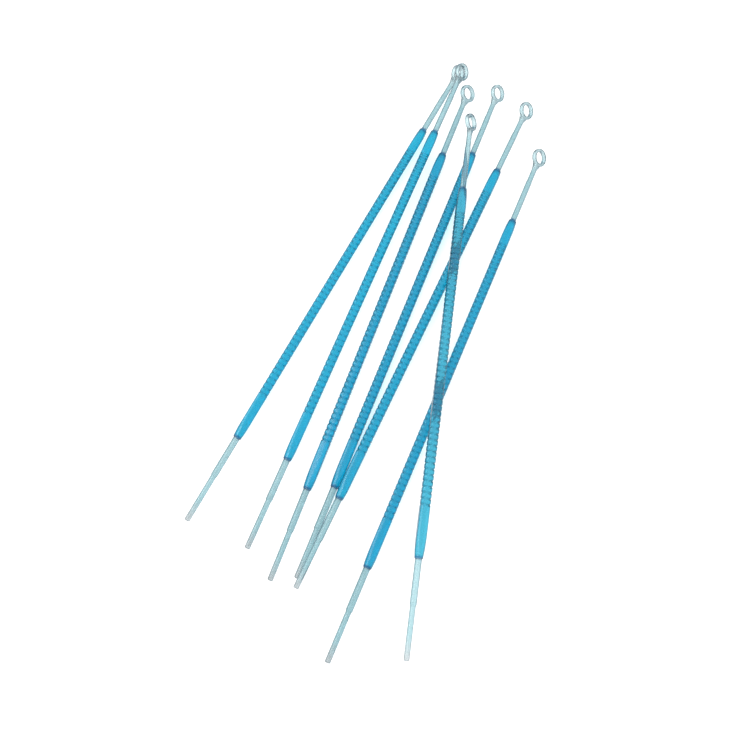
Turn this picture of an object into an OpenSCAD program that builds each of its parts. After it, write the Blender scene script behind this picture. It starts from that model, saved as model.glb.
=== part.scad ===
// A loose set of seven identical inoculating loops, lying as they were dropped on a table.
// Each loop is one moulding: a ribbed square grip, a thin neck with a calibrated ring, and a needle.
// A loop is modelled upright along +Z, ring at the top, with its origin at the middle of the grip.

/* [Loop] */
// Overall length, from the needle's tip to the far edge of the ring
overall_l = 200; // [190:1:210]
// From the grip's upper shoulder to the centre of the ring
neck_l = 28; // [24:0.5:32]
// From the grip's lower shoulder to the needle's tip
needle_l = 32.5; // [28:0.5:38]

/* [Ring] */
// Outer diameter of the ring
ring_d = 6.6; // [6:0.1:7]
// Bore of the ring, which holds the measured drop
ring_bore_d = 4.3; // [3.8:0.1:4.6]
// Depth of the ring along its bore
ring_depth = 1.5; // [1.2:0.1:1.8]

/* [Grip] */
// Width of the grip across its flats
flat_w = 3.4; // [3.2:0.1:3.6]
// Diameter of the grip across its rounded corners
corner_d = 4.1; // [3.9:0.1:4.4]
// Diameter of the shoulder where each taper ends
shoulder_d = 2.8; // [2.8:0.1:3.2]
// Length of the taper at each end of the grip
taper_l = 9; // [6:0.5:12]
// Distance from one groove to the next
groove_pitch = 2.03; // [1.8:0.01:2.4]
// Width of a groove at the corners
groove_w = 0.9; // [0.6:0.1:1.2]
// Diameter at the bottom of a groove
groove_root_d = 3.2; // [3.1:0.01:3.5]
// Plain length at the grip's ring end
plain_ring_l = 10; // [9:0.5:14]
// Plain length at the grip's needle end
plain_needle_l = 17.5; // [14:0.5:20]

/* [Stems] */
// Diameter of the neck next to the grip
neck_d = 2.1; // [2:0.1:2.3]
// Diameter of the neck next to the ring
neck_end_d = 1.9; // [1.6:0.1:2]
// Share of the neck that is at its thicker diameter
neck_step_share = 0.6; // [0.4:0.05:0.7]
// Diameter of the needle next to the grip
needle_d = 2.3; // [2.1:0.1:2.3]
// Diameter of the needle next to its tip
needle_end_d = 1.9; // [1.6:0.1:2]
// Share of the needle that is at its thicker diameter
needle_step_share = 0.45; // [0.3:0.05:0.6]

/* [Hidden] */
$fn = 64;

// How each loop lies: x and y of the grip's middle, its heading from +Y towards +X, the ring's tilt
// from level, and how far its needle end and its ring end are raised by the loops under it.
LAY = [
    [-11.9, 28.1, 35.7, 62, 0, 0],
    [-1.8, 21.9, 29.6, 56, 0, 1.8],
    [1.8, 11.7, 27.7, 48, 0, 0],
    [11.8, 10.7, 28.5, 50, 0, 0],
    [16.35, 4.2, 31.8, 50, 1.5, 0],
    [21.0, -11.8, 14.6, 60, 4.2, 4.2],
    [20.6, -18.4, 29.7, 50, 0, 0]
];

// Heights along the upright loop
grip_l = overall_l - neck_l - needle_l - ring_d / 2;
grip_top = grip_l / 2;
ring_z = grip_top + neck_l;
neck_step_z = grip_top + neck_step_share * neck_l;
needle_tip_z = -grip_top - needle_l;
needle_step_z = -grip_top - needle_step_share * needle_l;
first_groove_z = -grip_top + plain_needle_l;
groove_count = floor((grip_l - plain_needle_l - plain_ring_l - groove_w) / groove_pitch) + 1;

// Small shared sizes
step_l = 0.8;
tip_chamfer = 0.3;
edge_l = 0.2;
web_half_w = 1.9;
web_l = 2.2;

// Where the grip's flats meet its round corners
corner_half = sqrt(pow(corner_d / 2, 2) - pow(flat_w / 2, 2));
corner_angle = atan(corner_half * 2 / flat_w);

// Height of the axis of a grip that rests on the table, rolled away from its flat
function grip_rest(roll) = abs(roll) < corner_angle
    ? flat_w / 2 * cos(roll) + corner_half * sin(abs(roll))
    : corner_d / 2;

// Height of the centre of a ring whose lower edge rests on the table
function ring_rest(tilt) = ring_d / 2 * sin(tilt) + ring_depth / 2 * cos(tilt);

// One groove of the turned profile, as [radius, height] points
function groove(z) = [
    [corner_d / 2, z],
    [groove_root_d / 2, z + groove_w / 2],
    [corner_d / 2, z + groove_w]
];

// The turned shape of needle, grip and neck
module turned_body() {
    grooves = [for (i = [0 : groove_count - 1]) each groove(first_groove_z + i * groove_pitch)];
    rotate_extrude()
        polygon(concat(
            [
                [0, needle_tip_z],
                [needle_end_d / 2 - tip_chamfer, needle_tip_z],
                [needle_end_d / 2, needle_tip_z + tip_chamfer],
                [needle_end_d / 2, needle_step_z - step_l],
                [needle_d / 2, needle_step_z],
                [needle_d / 2, -grip_top],
                [shoulder_d / 2 - edge_l, -grip_top],
                [shoulder_d / 2, -grip_top + edge_l],
                [corner_d / 2, -grip_top + taper_l]
            ],
            grooves,
            [
                [corner_d / 2, grip_top - taper_l],
                [shoulder_d / 2, grip_top - edge_l],
                [shoulder_d / 2 - edge_l, grip_top],
                [neck_d / 2, grip_top],
                [neck_d / 2, neck_step_z],
                [neck_end_d / 2, neck_step_z + step_l],
                [neck_end_d / 2, ring_z - ring_d / 2 - web_l / 2],
                [ring_depth / 2, ring_z - ring_d / 2],
                [ring_depth / 2, ring_z - (ring_d + ring_bore_d) / 4],
                [0, ring_z - (ring_d + ring_bore_d) / 4]
            ]
        ));
}

// The ring, with the web that spreads the neck into it; its bore runs along a diagonal of the grip
module ring() {
    translate([0, 0, ring_z])
        rotate([90, 0, 45])
            difference() {
                union() {
                    cylinder(d = ring_d, h = ring_depth, center = true);
                    translate([0, 0, -ring_depth / 2])
                        linear_extrude(ring_depth)
                            polygon([
                                [-neck_end_d / 2, -ring_d / 2 - web_l],
                                [neck_end_d / 2, -ring_d / 2 - web_l],
                                [web_half_w, -ring_bore_d / 2],
                                [-web_half_w, -ring_bore_d / 2]
                            ]);
                }
                cylinder(d = ring_bore_d, h = ring_depth * 2, center = true);
            }
}

// One whole loop, upright
module upright_loop() {
    intersection() {
        turned_body();
        translate([-flat_w / 2, -flat_w / 2, needle_tip_z - 1])
            cube([flat_w, flat_w, overall_l + 2]);
    }
    ring();
}

// One loop laid down as its row of LAY says
module laid_loop(lay) {
    tilt = lay[3];
    roll = tilt - 45;
    rest_s = grip_top - taper_l;
    needle_end_h = grip_rest(roll) + lay[4];
    ring_end_h = ring_rest(tilt) + lay[5];
    pitch = asin((ring_end_h - needle_end_h) / (ring_z + rest_s));
    translate([lay[0], lay[1], needle_end_h + rest_s * sin(pitch)])
        rotate([pitch, 0, -lay[2]])
            rotate([-90, 0, 0])
                rotate([0, 0, roll])
                    upright_loop();
}

module inoculating_loop_1() { color("#48b4d2") laid_loop(LAY[0]); }
module inoculating_loop_2() { color("#48b4d2") laid_loop(LAY[1]); }
module inoculating_loop_3() { color("#2ca5c6") laid_loop(LAY[2]); }
module inoculating_loop_4() { color("#2ca5c6") laid_loop(LAY[3]); }
module inoculating_loop_5() { color("#2ca5c6") laid_loop(LAY[4]); }
module inoculating_loop_6() { color("#5fc3d6") laid_loop(LAY[5]); }
module inoculating_loop_7() { color("#2ca5c6") laid_loop(LAY[6]); }

inoculating_loop_1();
inoculating_loop_2();
inoculating_loop_3();
inoculating_loop_4();
inoculating_loop_5();
inoculating_loop_6();
inoculating_loop_7();
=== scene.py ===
"""Seven loose inoculating loops of clear blue plastic, lying crossed on a pale table.

Every loop is the same moulding, built once in its own frame: +Z runs from the needle's tip to the ring,
+X along the ring's bore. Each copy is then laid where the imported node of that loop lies.
"""

import math

import bmesh
import bpy
import numpy as np
from mathutils import Matrix, Vector


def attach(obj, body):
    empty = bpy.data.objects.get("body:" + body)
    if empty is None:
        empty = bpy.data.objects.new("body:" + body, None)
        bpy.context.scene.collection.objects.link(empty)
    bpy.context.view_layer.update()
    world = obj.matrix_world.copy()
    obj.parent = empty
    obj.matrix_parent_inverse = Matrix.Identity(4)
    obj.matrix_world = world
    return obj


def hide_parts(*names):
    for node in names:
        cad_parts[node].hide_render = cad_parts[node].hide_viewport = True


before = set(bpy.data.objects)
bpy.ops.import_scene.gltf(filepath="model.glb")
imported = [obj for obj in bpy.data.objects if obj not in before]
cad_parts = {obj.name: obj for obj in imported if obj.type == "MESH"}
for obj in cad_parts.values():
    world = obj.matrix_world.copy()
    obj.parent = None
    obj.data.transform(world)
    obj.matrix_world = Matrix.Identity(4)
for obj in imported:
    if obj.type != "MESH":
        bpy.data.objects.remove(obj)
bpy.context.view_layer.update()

MM = 0.001

# One loop, in millimetres
OVERALL = 200.0
NEEDLE = 32.5
NECK = 28.0
RING_OUTER = 3.3
RING_BORE = 2.15
RING_HALF_DEPTH = 0.75
RING_EDGE = 0.3
FLAT_HALF = 1.7
CORNER = 2.05
GROOVE_ROOT = 1.6
GROOVE_PITCH = 2.03
GROOVE_WIDTH = 0.9
PLAIN_NEEDLE_END = 17.5
PLAIN_RING_END = 10.0
TAPER = 9.0
SHOULDER = 1.4
NEEDLE_THICK = 1.15
NEEDLE_THIN = 0.95
NECK_THICK = 1.05
NECK_THIN = 0.95
NEEDLE_STEP_SHARE = 0.45
NECK_STEP_SHARE = 0.6
STEP_LENGTH = 0.8
WEB_HALF = 1.75

# Places along the loop, from the needle's tip
GRIP_LOW = NEEDLE
RING_CENTRE = OVERALL - RING_OUTER
GRIP_HIGH = RING_CENTRE - NECK
NEEDLE_STEP = NEEDLE * (1 - NEEDLE_STEP_SHARE)
NECK_STEP = GRIP_HIGH + NECK * NECK_STEP_SHARE
FIRST_GROOVE = GRIP_LOW + PLAIN_NEEDLE_END
GROOVES = int((GRIP_HIGH - GRIP_LOW - PLAIN_NEEDLE_END - PLAIN_RING_END - GROOVE_WIDTH) / GROOVE_PITCH) + 1
STEM_END = RING_CENTRE - (RING_OUTER + RING_BORE) / 2

SIDES = 48
RING_STEPS = 112
RING_SECTION_STEPS = 28


def smooth(t):
    """A ramp from 0 to 1 that starts and ends level."""
    t = np.clip(t, 0, 1)
    return t * t * (3 - 2 * t)


def ramp(s, start, end):
    return smooth((s - start) / (end - start))


def outline(s):
    """The turned radius at places s along the loop, without grooves."""
    round_edge = 0.3
    tip = np.sqrt(np.clip(1 - np.clip(1 - s / 0.5, 0, 1) ** 2, 0, 1))
    needle = NEEDLE_THIN + (NEEDLE_THICK - NEEDLE_THIN) * ramp(s, NEEDLE_STEP - STEP_LENGTH, NEEDLE_STEP)
    neck = NECK_THICK + (NECK_THIN - NECK_THICK) * ramp(s, NECK_STEP, NECK_STEP + STEP_LENGTH)
    from_end = np.minimum(s - GRIP_LOW, GRIP_HIGH - s)
    taper = SHOULDER + (CORNER - SHOULDER) * np.sin(np.clip(from_end / TAPER, 0, 1) * math.pi / 2)
    edge = np.clip(from_end / round_edge, 0, 1)
    stem = np.where(s < (GRIP_LOW + GRIP_HIGH) / 2, needle, neck)
    grip = stem + (taper - stem) * np.sqrt(1 - (1 - edge) ** 2)
    return np.where(from_end > 0, grip, stem * (0.55 + 0.45 * tip))


def groove_depth(s):
    """How far the grooves cut in at places s, as a share from 0 to 1."""
    turn = (s - FIRST_GROOVE) / GROOVE_PITCH
    index = np.clip(np.floor(turn), 0, GROOVES - 1)
    across = (turn - index) * GROOVE_PITCH / GROOVE_WIDTH
    return np.where((across > 0) & (across < 1), np.sin(np.clip(across, 0, 1) * math.pi) ** 1.5, 0)


def stations():
    """Places along the loop where the mesh has a ring of points: dense where the shape changes."""
    plain = [0, 0.04, 0.12, 0.25, 0.4, 0.5, 1, NEEDLE_STEP - STEP_LENGTH - 0.4]
    plain += list(np.linspace(NEEDLE_STEP - STEP_LENGTH, NEEDLE_STEP, 6))
    plain += list(np.linspace(2, NEEDLE - 1.5, 22)) + [NEEDLE - 0.4]
    for low, sign in ((GRIP_LOW, 1), (GRIP_HIGH, -1)):
        plain += [low, low - sign * 0.12]
        plain += [low + sign * d for d in (0.002, 0.03, 0.08, 0.15, 0.22, 0.3, 0.5)]
        plain += list(low + sign * np.linspace(1, TAPER, 12))
    plain += list(np.linspace(GRIP_LOW + TAPER, FIRST_GROOVE - 0.1, 8))
    for i in range(GROOVES):
        start = FIRST_GROOVE + i * GROOVE_PITCH
        plain += list(start + GROOVE_WIDTH * np.linspace(0, 1, 8))
        plain += [start + (GROOVE_WIDTH + GROOVE_PITCH) / 2]
    plain += list(np.linspace(GRIP_HIGH + 0.4, NECK_STEP, 12))
    plain += list(np.linspace(NECK_STEP, NECK_STEP + STEP_LENGTH, 6))
    plain += list(np.linspace(NECK_STEP + STEP_LENGTH + 0.5, STEM_END, 16))
    return np.unique(np.round(plain, 4))


def section_radius(s, angle):
    """The radius at each place s and each angle: a turned stem, squared where the grip's flats cut it."""
    turned = outline(s)[:, None] - (CORNER - GROOVE_ROOT) * groove_depth(s)[:, None]
    web = ramp(s, RING_CENTRE - RING_OUTER - 2.6, STEM_END)[:, None]
    wide = turned + (WEB_HALF - turned) * web ** 1.4
    pressed = ramp(s, RING_CENTRE - RING_OUTER - 1.8, STEM_END - 0.2)[:, None]
    deep = turned + (RING_HALF_DEPTH - 0.02 - turned) * pressed
    power = 2 + 1.2 * web
    body = (np.abs(np.cos(angle) / deep) ** power + np.abs(np.sin(angle) / wide) ** power) ** (-1 / power)
    turn = angle - math.pi / 4
    flat = FLAT_HALF / np.maximum(np.abs(np.cos(turn)), np.abs(np.sin(turn)))
    soft = 22
    return (body ** -soft + flat ** -soft) ** (-1 / soft)


def mesh_of(name, points, faces):
    mesh = bpy.data.meshes.new(name)
    mesh.from_pydata([tuple(p) for p in points], [], faces)
    mesh.update()
    return mesh


def tube_faces(rings, sides, closed):
    """Quads between rings of points; a closed tube joins its last ring to its first."""
    faces = []
    for i in range(rings if closed else rings - 1):
        for j in range(sides):
            k = (j + 1) % sides
            n = (i + 1) % rings
            faces.append((i * sides + j, i * sides + k, n * sides + k, n * sides + j))
    return faces


def stem_mesh():
    s = stations()
    angle = np.linspace(0, 2 * math.pi, SIDES, endpoint=False)[None, :]
    r = section_radius(s, angle) * MM
    points = np.stack([r * np.cos(angle), r * np.sin(angle), np.broadcast_to(s[:, None] * MM, r.shape)], -1)
    points = points.reshape(-1, 3)
    faces = tube_faces(len(s), SIDES, closed=False)
    faces.append(tuple(reversed(range(SIDES))))
    faces.append(tuple(range((len(s) - 1) * SIDES, len(s) * SIDES)))
    return mesh_of("stem", points, faces)


def ring_mesh():
    """The short tube at the end of the neck, its rims rounded."""
    middle = (RING_OUTER + RING_BORE) / 2
    half = (RING_OUTER - RING_BORE) / 2
    a = np.linspace(0, 2 * math.pi, RING_SECTION_STEPS, endpoint=False)
    power = 4.5
    size = (np.abs(np.cos(a)) ** power + np.abs(np.sin(a)) ** power) ** (-1 / power)
    across = half * size * np.cos(a)
    deep = RING_HALF_DEPTH * size * np.sin(a)
    around = np.linspace(0, 2 * math.pi, RING_STEPS, endpoint=False)
    reach = middle + across[None, :]
    points = np.stack([
        np.broadcast_to(deep[None, :], (RING_STEPS, RING_SECTION_STEPS)),
        reach * np.cos(around)[:, None],
        RING_CENTRE + reach * np.sin(around)[:, None],
    ], -1).reshape(-1, 3) * MM
    return mesh_of("ring", points, tube_faces(RING_STEPS, RING_SECTION_STEPS, closed=True))


def outward(mesh):
    """Turns every face of a closed mesh to face out."""
    work = bmesh.new()
    work.from_mesh(mesh)
    bmesh.ops.recalc_face_normals(work, faces=work.faces)
    work.to_mesh(mesh)
    work.free()


def united(first, second):
    """One closed mesh from two that overlap."""
    objects = []
    for mesh in (first, second):
        outward(mesh)
        obj = bpy.data.objects.new(mesh.name, mesh)
        bpy.context.scene.collection.objects.link(obj)
        objects.append(obj)
    cut = objects[0].modifiers.new("join", "BOOLEAN")
    cut.operation = "UNION"
    cut.solver = "EXACT"
    cut.object = objects[1]
    graph = bpy.context.evaluated_depsgraph_get()
    joined = bpy.data.meshes.new_from_object(objects[0].evaluated_get(graph), depsgraph=graph)
    for obj in objects:
        bpy.data.objects.remove(obj)
    return joined


def loop_frame(node):
    """Where a packed loop lies, as a matrix from the loop's own frame, read from that node's mesh."""
    points = np.array([v.co for v in node.data.vertices], float)
    points = np.unique(np.round(points, 7), axis=0)
    along = np.linalg.svd(points - points.mean(0), full_matrices=False)[2][0]
    along *= np.sign(along[1])
    place = points @ along
    tip = points[place < place.min() + 0.15 * MM].mean(0)
    rough = tip + along * RING_CENTRE * MM
    away = np.linalg.norm(points - rough, axis=1)
    rim = points[(away > (RING_BORE - 0.15) * MM) & (away < (RING_BORE + 0.35) * MM)]
    rim = rim[np.abs((rim - rough) @ along) < RING_BORE * MM]
    centre = rim.mean(0)
    bore = np.linalg.svd(rim - centre, full_matrices=False)[2][2]
    bore *= np.sign(bore[2])
    along = centre - tip
    along /= np.linalg.norm(along)
    bore -= along * (bore @ along)
    bore /= np.linalg.norm(bore)
    across = np.cross(along, bore)
    start = centre - along * RING_CENTRE * MM
    return Matrix([[bore[i], across[i], along[i], start[i]] for i in range(3)] + [[0, 0, 0, 1]])


def link(tree, source, target):
    tree.links.new(source, target)


def colour(red, green, blue):
    """A linear colour from sRGB values between 0 and 255."""
    shares = (red / 255, green / 255, blue / 255)
    return tuple(c / 12.92 if c < 0.0404 else ((c + 0.055) / 1.055) ** 2.4 for c in shares) + (1,)


GRIP_BLUE = colour(18, 163, 194)
GRIP_BLUE_PAINTED_PALER = colour(46, 154, 180)
STEM_BLUE = colour(148, 182, 188)
TIP_GREY = colour(172, 178, 180)
RING_TEAL = colour(182, 204, 208)
PAINTED_SHOULDER_SHADE = colour(8, 66, 120)
PAINTED_EDGE_SHADE = colour(26, 78, 98)
PAINTED_GROOVE_SHADE = colour(218, 234, 240)


def clear_plastic(name, grip, depth):
    """Clear tinted polystyrene: pale where the moulding is thin and strong blue where it is thick.

    The grip takes the colour given; a larger depth makes every tint stronger.
    """
    material = bpy.data.materials.new(name)
    material.use_nodes = True
    tree = material.node_tree
    tree.nodes.clear()
    place = tree.nodes.new("ShaderNodeAttribute")
    place.attribute_name = "loop_place"
    split = tree.nodes.new("ShaderNodeSeparateXYZ")
    link(tree, place.outputs["Vector"], split.inputs[0])

    along = tree.nodes.new("ShaderNodeMapRange")
    along.inputs["From Max"].default_value = OVERALL
    link(tree, split.outputs["Z"], along.inputs["Value"])
    ramp_node = tree.nodes.new("ShaderNodeValToRGB")
    link(tree, along.outputs["Result"], ramp_node.inputs["Fac"])
    # A dark band at each end of the grip is painted shade at the shoulder's step
    stops = [
        (0.0, TIP_GREY),
        (8.0, STEM_BLUE),
        (GRIP_LOW - 0.25, STEM_BLUE),
        (GRIP_LOW - 0.05, PAINTED_SHOULDER_SHADE),
        (GRIP_LOW + 0.5, PAINTED_SHOULDER_SHADE),
        (GRIP_LOW + 0.95, grip),
        (GRIP_HIGH - 0.95, grip),
        (GRIP_HIGH - 0.5, PAINTED_SHOULDER_SHADE),
        (GRIP_HIGH + 0.05, PAINTED_SHOULDER_SHADE),
        (GRIP_HIGH + 0.25, STEM_BLUE),
        (NECK_STEP + 4, STEM_BLUE),
        (RING_CENTRE - RING_OUTER, RING_TEAL),
    ]
    elements = ramp_node.color_ramp.elements
    elements[0].position, elements[0].color = 0.0, stops[0][1]
    elements[1].position, elements[1].color = stops[-1][0] / OVERALL, stops[-1][1]
    for position, value in stops[1:-1]:
        element = elements.new(position / OVERALL)
        element.color = value

    # Faint flow streaks along the moulding
    stretch = tree.nodes.new("ShaderNodeMapping")
    stretch.inputs["Scale"].default_value = (1.2, 1.2, 0.06)
    link(tree, place.outputs["Vector"], stretch.inputs["Vector"])
    streaks = tree.nodes.new("ShaderNodeTexNoise")
    streaks.inputs["Scale"].default_value = 1.0
    streaks.inputs["Detail"].default_value = 3.0
    link(tree, stretch.outputs["Vector"], streaks.inputs["Vector"])
    shade = tree.nodes.new("ShaderNodeMapRange")
    shade.inputs["To Min"].default_value = depth * 0.9
    shade.inputs["To Max"].default_value = depth * 1.1
    link(tree, streaks.outputs["Fac"], shade.inputs["Value"])
    tint = tree.nodes.new("ShaderNodeGamma")
    link(tree, ramp_node.outputs["Color"], tint.inputs["Color"])
    link(tree, shade.outputs["Result"], tint.inputs["Gamma"])

    # Fine scuffs from lying loose in a bag
    scuffs = tree.nodes.new("ShaderNodeTexNoise")
    scuffs.inputs["Scale"].default_value = 2.5
    scuffs.inputs["Detail"].default_value = 6.0
    link(tree, place.outputs["Vector"], scuffs.inputs["Vector"])
    rough = tree.nodes.new("ShaderNodeMapRange")
    rough.inputs["From Min"].default_value = 0.35
    rough.inputs["From Max"].default_value = 0.75
    rough.inputs["To Min"].default_value = 0.08
    rough.inputs["To Max"].default_value = 0.26
    link(tree, scuffs.outputs["Fac"], rough.inputs["Value"])
    bump = tree.nodes.new("ShaderNodeBump")
    bump.inputs["Strength"].default_value = 0.08
    bump.inputs["Distance"].default_value = 0.02 * MM
    link(tree, scuffs.outputs["Fac"], bump.inputs["Height"])

    plastic = tree.nodes.new("ShaderNodeBsdfPrincipled")
    plastic.inputs["Transmission Weight"].default_value = 0.8
    plastic.inputs["IOR"].default_value = 1.4
    plastic.inputs["Specular IOR Level"].default_value = 0.35
    # Painted shade: the colour is darkened where the surface turns edge-on, in place of the dark surroundings
    # a clear rod refracts at its edges, and darkened in the grooves as painted shade in the recesses
    facing = tree.nodes.new("ShaderNodeLayerWeight")
    facing.inputs["Blend"].default_value = 0.5
    rim = tree.nodes.new("ShaderNodeMapRange")
    rim.inputs["From Min"].default_value = 0.22
    rim.inputs["From Max"].default_value = 0.62
    link(tree, facing.outputs["Facing"], rim.inputs["Value"])
    edge_shaded = tree.nodes.new("ShaderNodeMix")
    edge_shaded.data_type = "RGBA"
    edge_shaded.blend_type = "MULTIPLY"
    edge_shaded.inputs["B"].default_value = PAINTED_EDGE_SHADE
    link(tree, rim.outputs["Result"], edge_shaded.inputs["Factor"])
    link(tree, tint.outputs["Color"], edge_shaded.inputs["A"])
    # Painted shade in the grooves: the colour is darkened by how deep each groove cuts
    groove_shade_mask = tree.nodes.new("ShaderNodeAttribute")
    groove_shade_mask.attribute_name = "painted_groove_shade_share"
    groove_shaded = tree.nodes.new("ShaderNodeMix")
    groove_shaded.data_type = "RGBA"
    groove_shaded.blend_type = "MULTIPLY"
    groove_shaded.inputs["B"].default_value = PAINTED_GROOVE_SHADE
    link(tree, groove_shade_mask.outputs["Fac"], groove_shaded.inputs["Factor"])
    link(tree, edge_shaded.outputs["Result"], groove_shaded.inputs["A"])
    link(tree, groove_shaded.outputs["Result"], plastic.inputs["Base Color"])
    link(tree, rough.outputs["Result"], plastic.inputs["Roughness"])
    link(tree, bump.outputs["Normal"], plastic.inputs["Normal"])

    # Lamps shine through the clear plastic, so its shadow is faint and tinted
    path = tree.nodes.new("ShaderNodeLightPath")
    through = tree.nodes.new("ShaderNodeBsdfTransparent")
    through.inputs["Color"].default_value = (0.9, 0.93, 0.94, 1)
    choose = tree.nodes.new("ShaderNodeMixShader")
    out = tree.nodes.new("ShaderNodeOutputMaterial")
    link(tree, path.outputs["Is Shadow Ray"], choose.inputs["Fac"])
    link(tree, plastic.outputs["BSDF"], choose.inputs[1])
    link(tree, through.outputs["BSDF"], choose.inputs[2])
    link(tree, choose.outputs["Shader"], out.inputs["Surface"])
    return material


def make_loops():
    """One piece per packed loop, all copies of one mesh."""
    whole = united(stem_mesh(), ring_mesh())
    where = np.array([v.co for v in whole.vertices], np.float32) / MM
    attribute = whole.attributes.new("loop_place", "FLOAT_VECTOR", "POINT")
    attribute.data.foreach_set("vector", where.ravel())
    share = whole.attributes.new("painted_groove_shade_share", "FLOAT", "POINT")
    share.data.foreach_set("value", groove_depth(where[:, 2]).astype(np.float32))
    whole.shade_smooth()
    # Painted light and shade on copies of one moulding: the loops on the table are tinted deepest, and the
    # one lying over the others palest, for how light passes through each as it lies
    deep = clear_plastic("clear_blue_painted_deepest", GRIP_BLUE, 1.0)
    bright = clear_plastic("clear_blue_painted_lighter", GRIP_BLUE, 0.92)
    pale = clear_plastic("clear_blue_painted_palest", GRIP_BLUE_PAINTED_PALER, 0.85)
    plastics = {1: bright, 2: bright, 3: deep, 4: deep, 5: deep, 6: pale, 7: deep}
    for number, plastic in plastics.items():
        node = f"inoculating_loop_{number}"
        mesh = whole.copy()
        mesh.name = f"moulded_loop_{number}"
        mesh.transform(loop_frame(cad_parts[node]))
        mesh.materials.clear()
        mesh.materials.append(plastic)
        piece = bpy.data.objects.new(f"moulded_loop_{number}", mesh)
        bpy.context.scene.collection.objects.link(piece)
        bpy.context.view_layer.objects.active = piece
        piece.select_set(True)
        bpy.ops.object.shade_smooth_by_angle(angle=math.radians(35))
        piece.select_set(False)
        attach(piece, f"loop_{number}")
        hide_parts(node)


def make_camera():
    """The camera leans back from straight above and is rolled a little."""
    tilt = math.radians(21.8)
    roll = math.radians(7.62)
    distance = 0.4158
    look = Vector((-0.0022, -0.0103, 0))
    back = Vector((0, -math.sin(tilt), math.cos(tilt)))
    side = Vector((1, 0, 0))
    up = back.cross(side)
    across = side * math.cos(roll) - up * math.sin(roll)
    upward = side * math.sin(roll) + up * math.cos(roll)
    data = bpy.data.cameras.new("camera")
    data.sensor_width = 36
    data.lens = 57.6
    data.clip_start = 0.01
    data.clip_end = 20
    camera = bpy.data.objects.new("camera", data)
    eye = look + back * distance
    camera.matrix_world = Matrix([[across[i], upward[i], back[i], eye[i]] for i in range(3)] + [[0, 0, 0, 1]])
    bpy.context.scene.collection.objects.link(camera)
    bpy.context.scene.camera = camera


def make_floor():
    half = 3.0
    points = [(-half, -half, 0), (half, -half, 0), (half, half, 0), (-half, half, 0)]
    floor = bpy.data.objects.new("table_top", mesh_of("table_top", points, [(0, 1, 2, 3)]))
    material = bpy.data.materials.new("pale_table")
    material.use_nodes = True
    shader = material.node_tree.nodes["Principled BSDF"]
    shader.inputs["Base Color"].default_value = (1, 1, 1, 1)
    shader.inputs["Roughness"].default_value = 0.7
    shader.inputs["Specular IOR Level"].default_value = 0.2
    floor.data.materials.append(material)
    bpy.context.scene.collection.objects.link(floor)


def area_light(name, place, target, size, power):
    data = bpy.data.lights.new(name, "AREA")
    data.shape = "DISK"
    data.size = size
    data.energy = power
    lamp = bpy.data.objects.new(name, data)
    lamp.location = place
    lamp.rotation_euler = (Vector(target) - Vector(place)).to_track_quat("-Z", "Y").to_euler()
    bpy.context.scene.collection.objects.link(lamp)


def make_light():
    world = bpy.data.worlds.new("studio")
    world.use_nodes = True
    background = world.node_tree.nodes["Background"]
    background.inputs["Color"].default_value = (1, 1, 1, 1)
    background.inputs["Strength"].default_value = 1.15
    bpy.context.scene.world = world
    area_light("soft_overhead", (-0.35, 0.25, 0.9), (0, 0, 0), 0.8, 7.0)
    bpy.context.scene.view_settings.view_transform = "Standard"


make_camera()
make_floor()
make_light()
make_loops()
